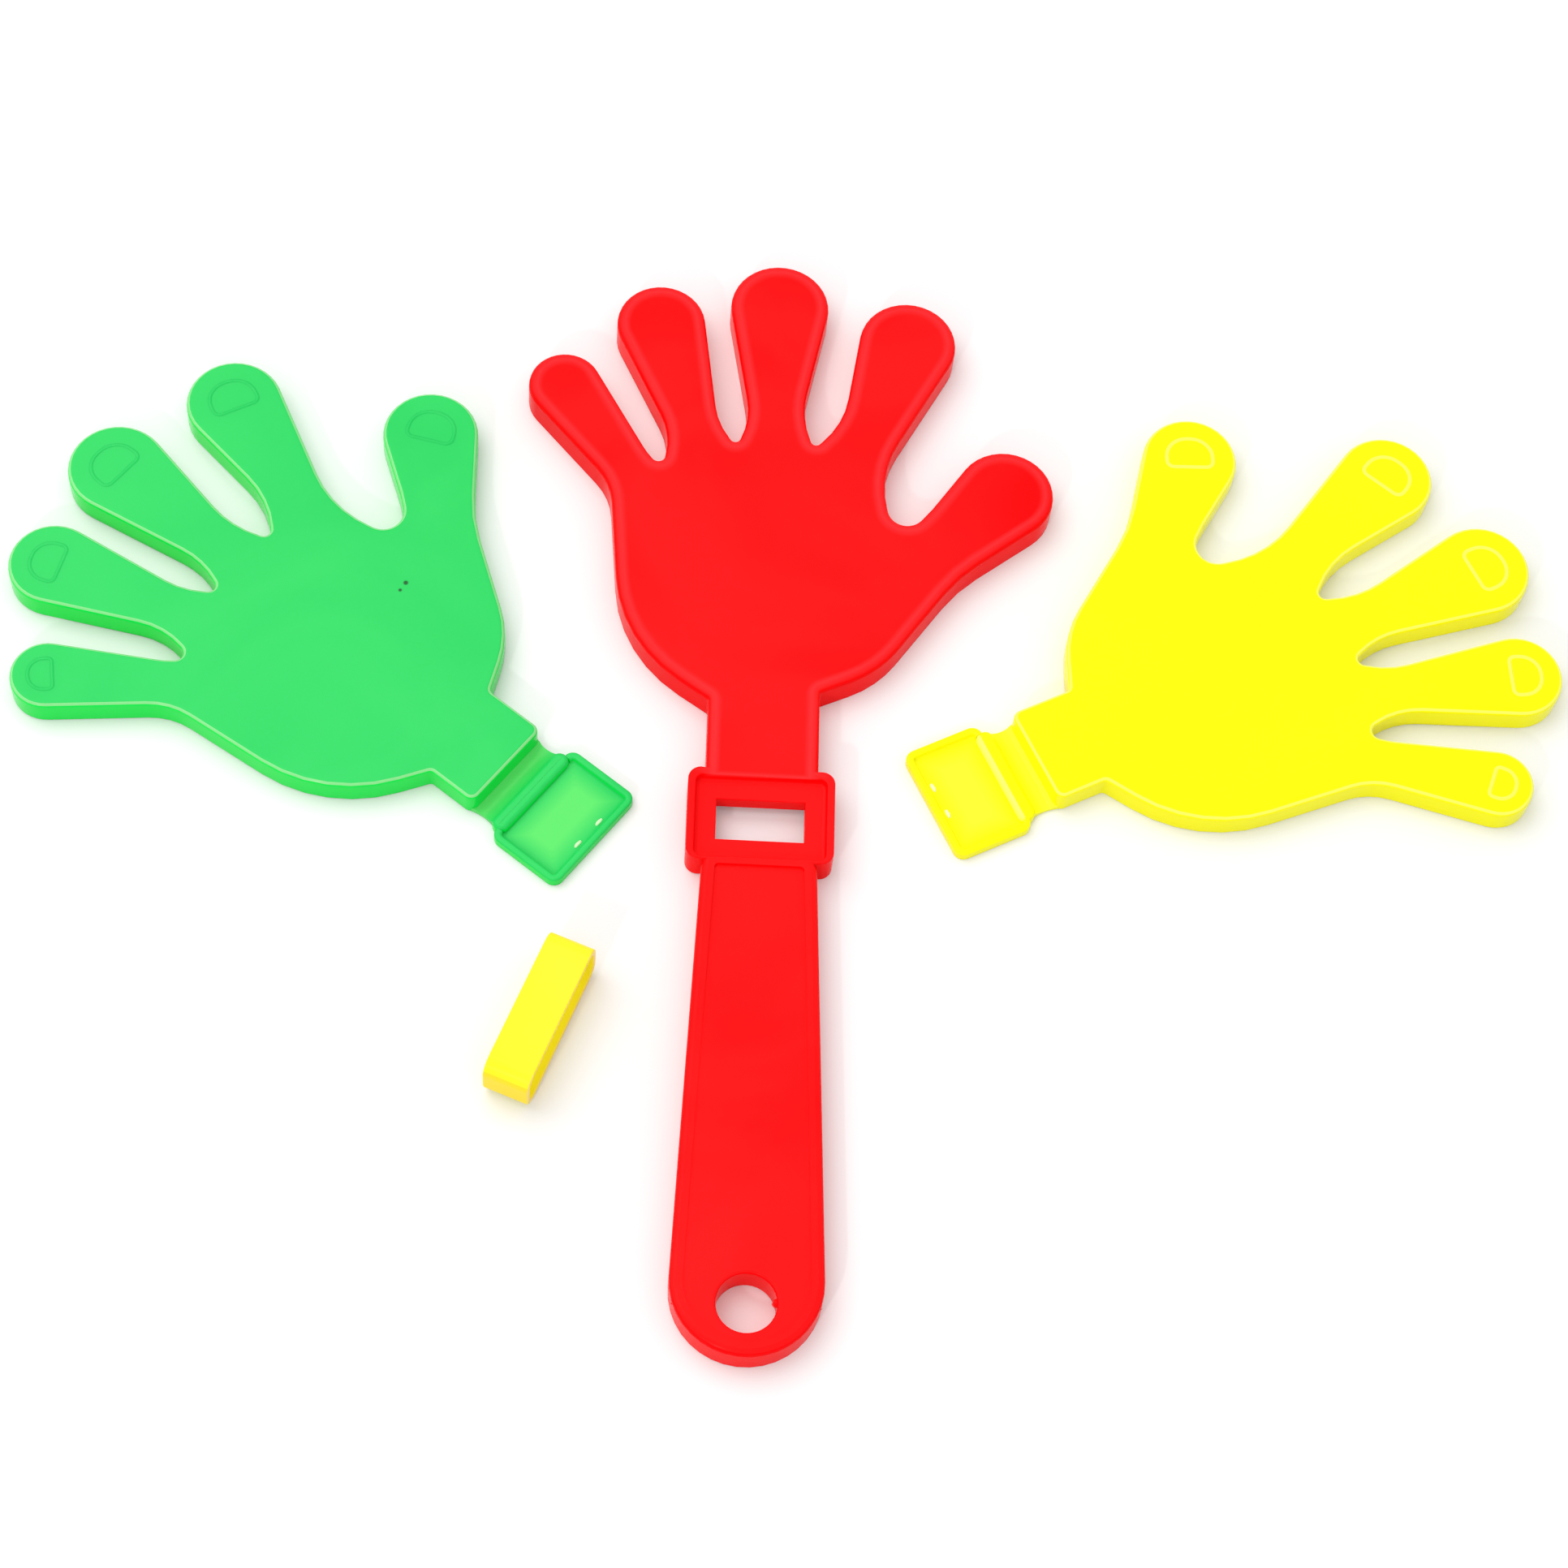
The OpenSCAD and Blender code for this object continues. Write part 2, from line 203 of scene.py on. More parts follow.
plasticLooks = {
    "red": {
        "colour": (0.97, 0.009, 0.010),
        "deep": (0.95, 0.003, 0.004),
        "wall": (0.94, 0.002, 0.003),
        "paintedLightShade": (0.98, 0.026, 0.03),
        "paintedHighlight": (0.85, 0.05, 0.05),
        "scatter": (1.0, 0.08, 0.06),
        "rough": (0.2, 0.3),
        "sheen": 0.03,
        "specks": (),
    },
    "green": {
        "colour": (0.022, 0.60, 0.11),
        "deep": (0.010, 0.56, 0.095),
        "wall": (0.001, 0.76, 0.07),
        "paintedLightShade": (0.10, 0.72, 0.13),
        "paintedHighlight": (0.62, 0.86, 0.50),
        "scatter": (0.12, 1.0, 0.25),
        "rough": (0.15, 0.24),
        "sheen": 0.15,
        "specks": ((-85.24, 174.42, 0.75), (-86.43, 172.37, 0.55)),  # dirt caught in the palm
    },
    "yellow": {
        "colour": (0.97, 0.95, 0.002),
        "deep": (0.96, 0.91, 0.001),
        "wall": (0.97, 0.93, 0.002),
        "paintedLightShade": (0.98, 0.97, 0.03),
        "paintedHighlight": (0.95, 0.95, 0.55),
        "scatter": (1.0, 0.9, 0.08),
        "rough": (0.15, 0.24),
        "sheen": 0.1,
        "specks": (),
    },
    "band": {
        "colour": (0.97, 0.90, 0.03),
        "deep": (0.96, 0.80, 0.01),
        "wall": (0.97, 0.74, 0.02),
        "paintedLightShade": (1.0, 0.88, 0.02),
        "paintedHighlight": (0.95, 0.95, 0.55),
        "scatter": (1.0, 0.75, 0.08),
        "rough": (0.25, 0.36),
        "sheen": 0.1,
        "specks": (),
    },
}
mouldSkin = {
    "drift": {"scale": 16, "detail": 3, "bend": 0.8, "range": (0.4, 0.7)},
    "rub": {"scale": 70, "detail": 4},
    "sink": {"scale": 45, "detail": 2, "strength": 0.2, "depth": 0.4},
    "grain": {"scale": 1500, "detail": 2, "strength": 0.08, "depth": 0.04},
    "speck": {"level": 7.0, "core": 0.5, "cover": 0.9, "colour": (0.008, 0.05, 0.012)},
    "scatterShare": 0.1,
    "scatterDepth": 3.0,
}


def rangeNode(tree, value, source=(0, 1), target=(0, 1)):
    made = tree.nodes.new("ShaderNodeMapRange")
    for socket, number in zip(("From Min", "From Max", "To Min", "To Max"), (*source, *target)):
        made.inputs[socket].default_value = number
    tree.links.new(value, made.inputs["Value"])
    return made.outputs["Result"]


def mouldedPlastic(name, look, skin):
    material = bpy.data.materials.new(name)
    material.use_nodes = True
    tree = material.node_tree
    nodes = tree.nodes
    links = tree.links
    shader = nodes["Principled BSDF"]
    coords = nodes.new("ShaderNodeTexCoord")

    def noise(kind):
        made = nodes.new("ShaderNodeTexNoise")
        made.inputs["Scale"].default_value = kind["scale"]
        made.inputs["Detail"].default_value = kind["detail"]
        links.new(coords.outputs["Object"], made.inputs["Vector"])
        return made

    def coat(under, colour, cover):
        mixed = nodes.new("ShaderNodeMix")
        mixed.data_type = "RGBA"
        mixed.inputs["B"].default_value = (*colour, 1)
        links.new(under, mixed.inputs["A"])
        links.new(cover, mixed.inputs["Factor"])
        return mixed.outputs["Result"]

    def bump(kind):
        made = nodes.new("ShaderNodeBump")
        made.inputs["Strength"].default_value = kind["strength"]
        made.inputs["Distance"].default_value = kind["depth"] * mm
        links.new(noise(kind).outputs["Fac"], made.inputs["Height"])
        return made

    # slow drift of the pigment through the moulding
    drift = noise(skin["drift"])
    drift.inputs["Distortion"].default_value = skin["drift"]["bend"]
    pigment = nodes.new("ShaderNodeMix")
    pigment.data_type = "RGBA"
    pigment.inputs["A"].default_value = (*look["colour"], 1)
    pigment.inputs["B"].default_value = (*look["deep"], 1)
    links.new(rangeNode(tree, drift.outputs["Fac"], skin["drift"]["range"]), pigment.inputs["Factor"])

    # painted shade makes walls deeper; painted light makes thin floors lighter and the inside of the band's
    # loop deeper, and painted highlights make the red rim's crest, rounded edges, nail ridges, ribs and gate
    # stumps paler
    finished = pigment.outputs["Result"]
    for place in ("wall", "paintedLightShade", "paintedHighlight"):
        marked = nodes.new("ShaderNodeAttribute")
        marked.attribute_name = place
        finished = coat(finished, look[place], marked.outputs["Fac"])

    # dark specks in the top skin
    speck = skin["speck"]
    for x, y, radius in look["specks"]:
        away = nodes.new("ShaderNodeVectorMath")
        away.operation = "DISTANCE"
        away.inputs[1].default_value = Vector((x, y, speck["level"])) * mm
        links.new(coords.outputs["Object"], away.inputs[0])
        fadeOver = (radius * speck["core"] * mm, radius * mm)
        cover = rangeNode(tree, away.outputs["Value"], fadeOver, (speck["cover"], 0))
        finished = coat(finished, speck["colour"], cover)
    links.new(finished, shader.inputs["Base Color"])

    # handled gloss, a little uneven
    rub = noise(skin["rub"])
    links.new(rangeNode(tree, rub.outputs["Fac"], target=look["rough"]), shader.inputs["Roughness"])

    # slight sink of the skin, and the mould's fine grain on top
    sink = bump(skin["sink"])
    grain = bump(skin["grain"])
    links.new(sink.outputs["Normal"], grain.inputs["Normal"])
    links.new(grain.outputs["Normal"], shader.inputs["Normal"])

    shader.inputs["Specular IOR Level"].default_value = look["sheen"]
    shader.inputs["Subsurface Weight"].default_value = skin["scatterShare"]
    shader.inputs["Subsurface Radius"].default_value = look["scatter"]
    shader.inputs["Subsurface Scale"].default_value = skin["scatterDepth"] * mm
    return material


plastics = {name: mouldedPlastic(name + "Plastic", look, mouldSkin) for name, look in plasticLooks.items()}
print("plastics made:", ", ".join(plastics))


# centre hand with neck, frame and handle

centreHand = {
    "thickness": 8.6,
    "rounding": 1.5,  # of the outer edge, and the shares of it that other edges get
    "underShare": 0.15,
    "holeShare": 0.45,
    "seatShare": 0.6,
    "frameShare": 0.2,
    "leastWall": 1.2,  # lower walls stay sharp
    "seatWall": 3.0,  # the seat's walls are lower than this
    "nearFace": 1.0,  # within this of the table or the top, an edge belongs to that face
    "frameFrom": 105.5,
    "frameTo": 129.0,
    "holeRadius": 6.7,
    "holeRing": 0.5,
    "cuts": (5, 60, 111.7, 121.9),  # across the hole, the handle and the window's ends
    "faceLevel": 8.0,
    "rimSlope": 1.4,
    "slopeTilt": (0.8, 0.98),  # upward share of the slope's normals
    "panelLevel": 8.2,
    "panelDip": 0.6,
    "dipFrom": 60,
    # stump on the wall of the hang hole
    "gate": {"spot": (6.5, 0.7, 6.2), "size": (1.7, 2.0, 2.8), "paintedHighlight": 0.0},
}
gateTear = {
    "every": 3,  # each third corner is pulled out of the round
    "pull": (1.25, 0.8, 1.15),
}


def gateMark(look, tear):
    # small stump where a gate was twisted off
    bm = bmesh.new()
    bmesh.ops.create_icosphere(bm, subdivisions=2, radius=mm / 2)
    bmesh.ops.scale(bm, vec=look["size"], verts=bm.verts[:])
    bm.verts.index_update()
    ragged = [corner for corner in bm.verts if corner.index % tear["every"] == 0]
    bmesh.ops.scale(bm, vec=tear["pull"], verts=ragged)
    # the stump gets a painted highlight of this share
    paintedHighlight = bm.verts.layers.float.new("paintedHighlight")
    for corner in bm.verts:
        corner[paintedHighlight] = look["paintedHighlight"]
    bmesh.ops.translate(bm, verts=bm.verts[:], vec=Vector(look["spot"]) * mm)
    return bm


def centreRounding(edge, look):
    # share of the outer rounding that an edge gets
    walls = [face for face in edge.link_faces if abs(face.normal.z) <= facing]
    if len(walls) != 1:
        return 0
    heights = [corner.co.z for corner in walls[0].verts]
    reach = (max(heights) - min(heights)) / mm
    if reach < look["leastWall"]:
        return 0
    at = middleOf(edge)
    if at.z < look["nearFace"] * mm:
        return look["underShare"]
    if at.xy.length < (look["holeRadius"] + look["holeRing"]) * mm:
        return look["holeShare"]
    if not look["frameFrom"] * mm - placeGap < at.y < look["frameTo"] * mm + placeGap:
        return 1.0
    footOfSeat = at.z < (look["thickness"] - look["nearFace"]) * mm and reach < look["seatWall"]
    return look["seatShare"] if footOfSeat else look["frameShare"]


def flatFaces(bm, level, lowest, highest):
    return [
        face for face in bm.faces
        if face.normal.z > flat and abs(face.calc_center_median().z - level * mm) < levelGap
        and lowest < face.calc_center_median().y / mm < highest]


def softenRim(bm, look):
    # the face falls away softly from the rim instead of in a step
    palm = flatFaces(bm, look["faceLevel"], look["frameTo"], math.inf)
    slope = bmesh.ops.inset_region(
        bm, faces=palm, thickness=look["rimSlope"] * mm, use_boundary=True, use_even_offset=True)
    for corner in cornersOf(slope["faces"]) - cornersOf(palm):
        corner.co.z = look["thickness"] * mm
    bmesh.ops.remove_doubles(bm, verts=bm.verts[:], dist=sameGap)
    bm.normal_update()
    # the rim's crest gets a painted highlight
    crestHighlight = bm.verts.layers.float.new("paintedLightShade")
    steep, gentle = look["slopeTilt"]
    for corner in bm.verts:
        onTop = corner.co.z > look["thickness"] * mm - levelGap
        if onTop and any(steep < face.normal.z < gentle for face in corner.link_faces):
            corner[crestHighlight] = 1.0


def dipPanel(bm, look):
    # the handle's panel falls away towards the frame
    panel = flatFaces(bm, look["panelLevel"], -math.inf, look["frameFrom"])
    for corner in cornersOf(panel):
        along = share(corner.co.y / mm, look["dipFrom"], look["frameFrom"])
        corner.co.z -= look["panelDip"] * along * mm


def buildCentreHand(look):
    bm = copyOfNode("centre_hand", look["cuts"])
    softenRim(bm, look)
    dipPanel(bm, look)
    markShadedWalls(bm)
    weights = bm.edges.layers.float.new("bevel_weight_edge")
    for edge in bm.edges:
        if isSharp(edge):
            edge[weights] = centreRounding(edge, look)
    addShell(bm, gateMark(look["gate"], gateTear))
    hand = makePiece(bm, "centreHandMoulding", plastics["red"], look["rounding"])
    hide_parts("centre_hand")
    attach(hand, "centre")


buildCentreHand(centreHand)
print("centre hand made")


# outer hands, green and its mirror image in yellow

outerHand = {
    "thickness": 7.0,
    "rounding": 1.1,
    "lowRounding": 0.25,
    "highlightTilt": (0.6, 0.9),  # upward share of the normals where the rounding gets a painted highlight
    "palm": (0.4, 48.52),  # middle of the palm from the hinge line
    # each finger: turn, reach and tip radius
    "fingers": ((45, 72, 8.8), (22, 75.5, 10.8), (-0.5, 76.5, 12.0), (-25.5, 75, 11.8), (-65, 62, 11.7)),
    "nailWide": 1.08,  # the nail's sizes are shares of the tip radius
    "nailTall": 0.8,
    "nailShift": 0.16,  # from the tip's middle outwards
    "nailRound": 0.5,
    "nailFoot": 0.2,
    "ridgeWide": 1.4,
    "ridgeHigh": 0.16,
    "ridgeRoot": 0.8,  # depth below the skin, so that only the round crest shows
    "ridgeRound": 0.48,  # share of the ridge's width
}
outerPlaces = {
    "green": {
        "hinge": (-56.5, 126.0),
        "turn": 53,
        "mirrored": False,
        "edgeHighlight": 0.36,  # shares of the painted highlight's tone
        "nailHighlight": 0.0,
        "ribHighlight": 0.0,
    },
    "yellow": {
        "hinge": (61.0, 135.5),
        "turn": -63,
        "mirrored": True,
        "edgeHighlight": 0.22,
        "nailHighlight": 0.2,
        "ribHighlight": 0.3,
    },
}


def placeOf(side):
    # from a hand's own frame at its hinge line to the scene
    spot = outerPlaces[side]
    flip = Matrix.Scale(-1, 4, (1, 0, 0)) if spot["mirrored"] else Matrix.Identity(4)
    turn = Matrix.Rotation(math.radians(spot["turn"]), 4, "Z")
    return Matrix.Translation(Vector((*spot["hinge"], 0)) * mm) @ turn @ flip


def putInPlace(bm, side):
    bm.transform(placeOf(side))
    if outerPlaces[side]["mirrored"]:
        bmesh.ops.reverse_faces(bm, faces=bm.faces[:])


def nailOutline(look, tip):
    # a D with its straight side towards the palm
    bm = bmesh.new()
    bmesh.ops.create_grid(bm, x_segments=1, y_segments=1, size=0.5)
    bmesh.ops.scale(bm, vec=(look["nailWide"] * tip * mm, look["nailTall"] * tip * mm, 1), verts=bm.verts[:])
    roundTop = [corner for corner in bm.verts if corner.co.y > 0]
    foot = [corner for corner in bm.verts if corner.co.y < 0]
    for corners, radius in ((foot, look["nailFoot"]), (roundTop, look["nailRound"])):
        bmesh.ops.bevel(
            bm, geom=corners, offset=radius * tip * mm, affect="VERTICES", segments=9, profile=0.5,
            material=-1)
    return bm


def nailRidge(look, finger):
    # the outline as a fine raised line
    turn, reach, tip = finger
    bm = nailOutline(look, tip)
    bmesh.ops.inset_region(
        bm, faces=bm.faces[:], thickness=look["ridgeWide"] * mm, use_boundary=True, use_even_offset=True)
    inside = max(bm.faces, key=lambda face: len(face.verts))
    bmesh.ops.delete(bm, geom=[inside], context="FACES_ONLY")
    raised = bmesh.ops.extrude_face_region(bm, geom=bm.faces[:], use_keep_orig=True)
    rise = (look["ridgeHigh"] + look["ridgeRoot"]) * mm
    bmesh.ops.translate(bm, verts=movedCorners(raised), vec=(0, 0, rise))
    bmesh.ops.recalc_face_normals(bm, faces=bm.faces[:])
    crests = sharpAbove(bm, look["ridgeRoot"])
    roundEdges(bm, crests, look["ridgeRound"] * look["ridgeWide"], steps=5, clamped=True)
    angle = math.radians(turn)
    outwards = Vector((-math.sin(angle), math.cos(angle)))
    middle = Vector(look["palm"]) + outwards * (reach + look["nailShift"] * tip)
    spot = Vector((*middle, look["thickness"] - look["ridgeRoot"])) * mm
    bm.transform(Matrix.Translation(spot) @ Matrix.Rotation(angle, 4, "Z"))
    return bm


def buildOuterHand(side, look):
    tones = outerPlaces[side]
    bm = copyOfNode(side + "_hand")
    markShadedWalls(bm)
    paintedHighlight = bm.faces.layers.float.new("paintedHighlight")
    weights = bm.edges.layers.float.new("bevel_weight_edge")
    upper = sharpAbove(bm, look["thickness"] - placeGap / mm)
    rounded = roundEdges(bm, upper, look["rounding"], steps=5)
    bm.normal_update()
    # the upper part of the rounding gets a painted highlight
    steep, gentle = look["highlightTilt"]
    for face in rounded["faces"]:
        if steep < face.normal.z < gentle:
            face[paintedHighlight] = tones["edgeHighlight"]
    for edge in bm.edges:
        if isSharp(edge) and any(face.normal.z < -facing for face in edge.link_faces):
            edge[weights] = 1.0
    for finger in look["fingers"]:
        nail = nailRidge(look, finger)
        # the nail ridges get a painted highlight
        ridgeHighlight = nail.faces.layers.float.new("paintedHighlight")
        for face in nail.faces:
            face[ridgeHighlight] = tones["nailHighlight"]
        putInPlace(nail, side)
        addShell(bm, nail)
    hand = makePiece(
        bm, side + "HandMoulding", plastics[side], look["lowRounding"], roundSteps=2)
    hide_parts(side + "_hand")
    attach(hand, side + "_leaf")


for side in outerPlaces:
    buildOuterHand(side, outerHand)
print("outer hands made")


# tongues: a shallow tray with a rounded rib at the hinge end

tongue = {
    "size": (29.4, 19.7, 2.6),
    "from": -23.97,  # free end, from the hinge line
    "corner": 2.5,
    "rim": 1.8,
    "rimRound": 0.55,
    "sunk": 1.4,
    "floorRound": 0.8,
    "fade": (2.6, 3.6, 4.6, 5.8, 7.0),  # cuts of the floor, from the tray's outside
    "ribSize": (25.0, 4.2, 3.0),
    "ribAt": -4.27,
    "ribRound": 1.2,
    "ribEnds": 0.49,  # share of the rib's width
    "ribTakes": (1.5, 1.6),  # where the rim gives way to it, in rim widths from the sides and the end
    "marks": ((-2.95, -20.9), (4.5, -21.0)),  # gate marks on the floor of the tray
    "markSize": (2.4, 1.1, 0.8),
}


def cutFloor(bm, low, place, direction):
    floor = [face for face in bm.faces if face.normal.z > flat and face.calc_center_median().z < low]
    edges = {edge for face in floor for edge in face.edges}
    bmesh.ops.bisect_plane(bm, geom=[*cornersOf(floor), *edges, *floor], plane_co=place, plane_no=direction)


def openHingeEnd(bm, look):
    # the rib takes the place of the rim's hinge end
    wide, long, high = look["size"]
    atSides, atEnd = look["ribTakes"]
    inner = (wide / 2 - atSides * look["rim"]) * mm
    for way in (-1, 1):
        bmesh.ops.bisect_plane(bm, geom=wholeOf(bm), plane_co=(way * inner, 0, 0), plane_no=(1, 0, 0))
    hingeEnd = (look["from"] + long - atEnd * look["rim"]) * mm
    for corner in bm.verts:
        if abs(corner.co.x) < inner + sameGap and corner.co.y > hingeEnd:
            corner.co.z = min(corner.co.z, (high - look["sunk"]) * mm)


def fadeFloor(bm, look):
    # the floor's middle is thin and gets painted light, as if light shone through it, fading towards the rim
    wide, long, high = look["size"]
    middle = look["from"] + long / 2
    low = (high - look["sunk"]) * mm + levelGap
    for way in (-1, 1):
        for step in look["fade"]:
            cutFloor(bm, low, (way * (wide / 2 - step) * mm, 0, 0), (1, 0, 0))
            cutFloor(bm, low, (0, (middle + way * (long / 2 - step)) * mm, 0), (0, 1, 0))
    paintedLightShade = bm.verts.layers.float.new("paintedLightShade")
    for corner in bm.verts:
        if corner.co.z < low:
            toWall = min(wide / 2 - abs(corner.co.x / mm), long / 2 - abs(corner.co.y / mm - middle))
            corner[paintedLightShade] = share(toWall, look["fade"][0], look["fade"][-1])


def trayShell(look):
    long, high = look["size"][1:]
    bm = blockAt(look["size"], look["from"] + long / 2)
    roundEdges(bm, uprightEdges(bm, high), look["corner"], steps=6)
    roof = max(bm.faces, key=lambda face: face.calc_center_median().z)
    bmesh.ops.inset_region(bm, faces=[roof], thickness=look["rim"] * mm, use_even_offset=True)
    floor = bmesh.ops.extrude_face_region(bm, geom=[roof])
    bmesh.ops.translate(bm, verts=movedCorners(floor), vec=(0, 0, -look["sunk"] * mm))
    bmesh.ops.delete(bm, geom=[roof], context="FACES_ONLY")
    for level, radius in ((high - look["sunk"], look["floorRound"]), (high, look["rimRound"])):
        edges = [edge for edge in bm.edges if isSharp(edge) and abs(middleOf(edge).z - level * mm) < sameGap]
        roundEdges(bm, edges, radius, steps=4)
    openHingeEnd(bm, look)
    fadeFloor(bm, look)
    return bm


def ribShell(look, highlightShare):
    long, high = look["ribSize"][1:]
    bm = blockAt(look["ribSize"], look["ribAt"])
    roundEdges(bm, uprightEdges(bm, high), look["ribEnds"] * long, steps=8)
    roundEdges(bm, sharpAbove(bm, high / 2), look["ribRound"], steps=6)
    # the tray side of the rib's top gets a painted highlight
    paintedHighlight = bm.verts.layers.float.new("paintedHighlight")
    for corner in bm.verts:
        onTraySide = corner.co.y < (look["ribAt"] - long / 4) * mm and corner.co.z > high / 2 * mm
        corner[paintedHighlight] = highlightShare if onTraySide else 0.0
    return bm


def buildTongue(side, look):
    bm = trayShell(look)
    addShell(bm, ribShell(look, outerPlaces[side]["ribHighlight"]))
    markShadedWalls(bm)
    for x, y in look["marks"]:
        spot = (x, y, look["size"][2] - look["sunk"])
        # the tray's gate stumps get a full painted highlight
        addShell(bm, gateMark({"spot": spot, "size": look["markSize"], "paintedHighlight": 1.0}, gateTear))
    putInPlace(bm, side)
    piece = makePiece(bm, side + "TongueMoulding", plastics[side])
    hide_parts(side + "_tongue")
    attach(piece, side + "_base")


for side in outerPlaces:
    buildTongue(side, tongue)
print("tongues made")


# living hinges: thin webs that bend between tongue and hand

web = {
    "wide": 22.5,
    "from": -3.6,
    "to": 3.6,
    "thick": 1.0,
    "cells": (16, 24),
    # each fillet: its rise, and where it starts and is full
    "ribFillet": (0.9, 0.6, -2.6),
    "handFillet": (0.5, 1.7, 2.6),
    "flare": 0.05,  # extra width at both ends
    # painted light on the thin web, as if light shone through it, fading near the rib
    "thinLightShare": 0.85,
    "bendFrom": -2.4,
    "bendTo": 2.4,
}


def buildWeb(side, look):
    long = look["to"] - look["from"]
    middle = (look["from"] + look["to"]) / 2
    bm = bmesh.new()
    bmesh.ops.create_grid(bm, x_segments=look["cells"][0], y_segments=look["cells"][1], size=0.5)
    bmesh.ops.scale(bm, vec=(look["wide"] * mm, long * mm, 1), verts=bm.verts[:])
    bmesh.ops.translate(bm, verts=bm.verts[:], vec=(0, middle * mm, look["thick"] * mm))
    lower = bmesh.ops.extrude_face_region(bm, geom=bm.faces[:], use_keep_orig=True)
    bmesh.ops.translate(bm, verts=movedCorners(lower), vec=(0, 0, -look["thick"] * mm))
    bmesh.ops.recalc_face_normals(bm, faces=bm.faces[:])
    paintedLightShade = bm.verts.layers.float.new("paintedLightShade")
    ribRise, *ribReach = look["ribFillet"]
    handRise, *handReach = look["handFillet"]
    for corner in bm.verts:
        along = corner.co.y / mm
        nearRib = share(along, *ribReach)
        nearHand = share(along, *handReach)
        if corner.co.z > look["thick"] / 2 * mm:
            corner.co.z += (ribRise * nearRib ** 2 + handRise * nearHand ** 2) * mm
        corner.co.x *= 1 + look["flare"] * (along / look["to"]) ** 2
        corner[paintedLightShade] = look["thinLightShare"] * (1 - nearRib)
    putInPlace(bm, side)
    piece = makePiece(bm, side + "HingeWeb", plastics[side])
    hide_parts(side + "_hinge")
    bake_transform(piece)


for side in outerPlaces:
    buildWeb(side, web)
print("hinge webs made")


# clamp band

band = {
    "middle": (-48.0, 65.0),
    "lean": 21,
    "inside": (17.4, 1.5, 11.7),  # half length, floor and roof of the loop
    "rounding": 0.4,
    "edgeHighlight": 0.25,
}


def buildBand(look):
    bm = copyOfNode("clamp_band")
    lean = math.radians(look["lean"])
    along = Vector((math.sin(lean), math.cos(lean), 0))
    across = along.cross(Vector((0, 0, 1)))
    middle = Vector((*look["middle"], 0)) * mm
    half, floor, roof = (value * mm for value in look["inside"])
    markShadedWalls(bm)
    # the inside of the loop gets painted shade, deeper and more orange, and the strap's edges a painted
    # highlight
    paintedLightShade = bm.faces.layers.float.new("paintedLightShade")
    paintedHighlight = bm.faces.layers.float.new("paintedHighlight")
    for face in bm.faces:
        at = face.calc_center_median()
        onEdge = abs(face.normal.dot(across)) > facing  # the strap's own edges
        inLength = abs((at - middle).dot(along)) < half + placeGap
        inLoop = inLength and floor - placeGap < at.z < roof + placeGap
        face[paintedLightShade] = 1.0 if inLoop and not onEdge else 0.0
        face[paintedHighlight] = look["edgeHighlight"] if onEdge else 0.0
    weights = bm.edges.layers.float.new("bevel_weight_edge")
    for edge in bm.edges:
        if isSharp(edge):
            edge[weights] = 1.0
    piece = makePiece(
        bm, "clampBandMoulding", plastics["band"], look["rounding"], roundSteps=3)
    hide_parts("clamp_band")
    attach(piece, "band")


buildBand(band)
print("band made")


# white table and soft light

studio = {
    "tableSize": 6.0,
    "tableDrop": 0.0001,  # just clear of the pieces
    "tableRough": 0.9,
    "tableWhite": 0.88,  # as the camera sees it
    "tableGlow": (0.08, 0.36),  # share of it that no shadow dims, near the object and far off
    "glowReach": (0.4, 1.0),
    "tableBounce": 0.74,  # as the object sees it
    "sky": 0.84,
    "skySeen": 1.0,  # as the camera sees it
    "keyPlace": (-0.55, 0.5, 1.3),
    "keySize": 1.4,
    "keyWatts": 10.0,
    "edgePlace": (-0.5, -0.95, 0.75),
    "edgeSize": 0.05,
    "edgeWatts": 3.0,
    "aim": (0.0, 0.14, 0.0),
}


def grey(tone):
    return (tone, tone, tone, 1)


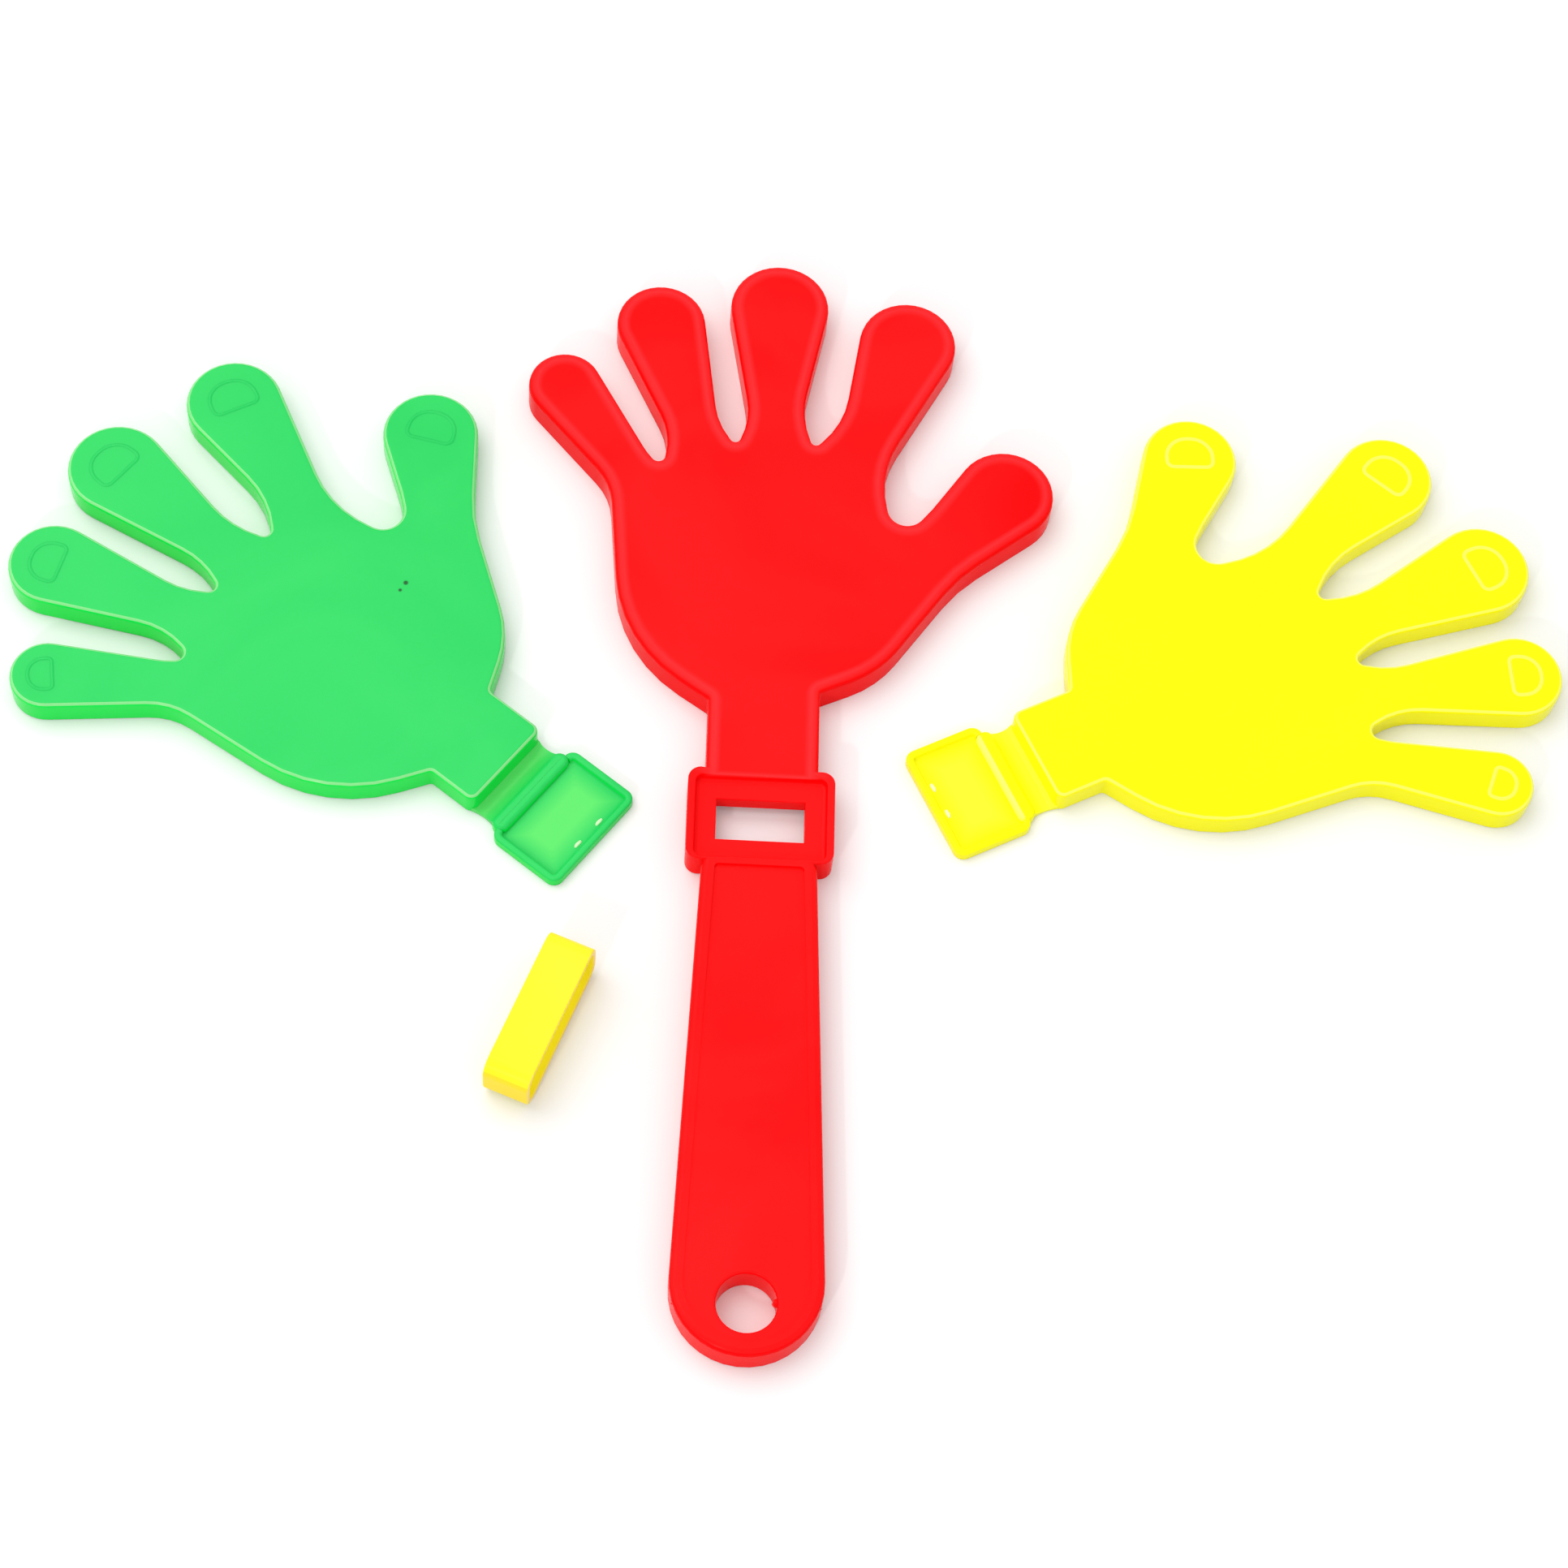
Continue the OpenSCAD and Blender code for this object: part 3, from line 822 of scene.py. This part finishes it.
def tableFinish(look):
    material = bpy.data.materials.new("tableWhite")
    material.use_nodes = True
    tree = material.node_tree
    nodes = tree.nodes
    links = tree.links
    shader = nodes["Principled BSDF"]
    shader.inputs["Roughness"].default_value = look["tableRough"]
    shader.inputs["Specular IOR Level"].default_value = 0.0

    def combine(operation, first, second):
        made = nodes.new("ShaderNodeMath")
        made.operation = operation
        links.new(first, made.inputs[0])
        links.new(second, made.inputs[1])
        return made.outputs["Value"]

    # one white for the camera and for mirrored views, another for the light that it throws back
    path = nodes.new("ShaderNodeLightPath")
    mirrored = combine("MAXIMUM", path.outputs["Is Glossy Ray"], path.outputs["Is Transmission Ray"])
    seen = combine("MAXIMUM", path.outputs["Is Camera Ray"], mirrored)
    tone = nodes.new("ShaderNodeMix")
    tone.data_type = "RGBA"
    tone.inputs["A"].default_value = grey(look["tableBounce"])
    tone.inputs["B"].default_value = grey(look["tableWhite"] - look["tableGlow"][0])
    links.new(seen, tone.inputs["Factor"])
    links.new(tone.outputs["Result"], shader.inputs["Base Color"])

    # far off, where the lamps don't reach, the table glows more
    coords = nodes.new("ShaderNodeTexCoord")
    away = nodes.new("ShaderNodeVectorMath")
    away.operation = "LENGTH"
    links.new(coords.outputs["Object"], away.inputs[0])
    farOff = rangeNode(tree, away.outputs["Value"], look["glowReach"], look["tableGlow"])
    shader.inputs["Emission Color"].default_value = grey(1)
    links.new(combine("MULTIPLY", seen, farOff), shader.inputs["Emission Strength"])
    return material


def addTable(look):
    bm = bmesh.new()
    bmesh.ops.create_grid(bm, x_segments=1, y_segments=1, size=look["tableSize"] / 2)
    bmesh.ops.translate(bm, verts=bm.verts[:], vec=(0, 0, -look["tableDrop"]))
    mesh = bpy.data.meshes.new("table")
    bm.to_mesh(mesh)
    bm.free()
    mesh.materials.append(tableFinish(look))
    table = bpy.data.objects.new("table", mesh)
    scene.collection.objects.link(table)


def addSky(look):
    world = bpy.data.worlds.new("softSky")
    world.use_nodes = True
    nodes = world.node_tree.nodes
    links = world.node_tree.links
    background = nodes["Background"]
    background.inputs["Color"].default_value = grey(1)
    path = nodes.new("ShaderNodeLightPath")
    strength = nodes.new("ShaderNodeMix")
    strength.inputs["A"].default_value = look["sky"]
    strength.inputs["B"].default_value = look["skySeen"]
    links.new(path.outputs["Is Camera Ray"], strength.inputs["Factor"])
    links.new(strength.outputs["Result"], background.inputs["Strength"])
    scene.world = world


def addSoftbox(name, place, size, watts, aim):
    data = bpy.data.lights.new(name, "AREA")
    data.shape = "DISK"
    data.size = size
    data.energy = watts
    lamp = bpy.data.objects.new(name, data)
    lamp.location = place
    lamp.rotation_euler = (Vector(aim) - Vector(place)).to_track_quat("-Z", "Y").to_euler()
    scene.collection.objects.link(lamp)


addTable(studio)
addSky(studio)
addSoftbox("keyBox", studio["keyPlace"], studio["keySize"], studio["keyWatts"], studio["aim"])
addSoftbox("edgeLamp", studio["edgePlace"], studio["edgeSize"], studio["edgeWatts"], studio["aim"])
scene.view_settings.view_transform = "Standard"
print("table and light set")
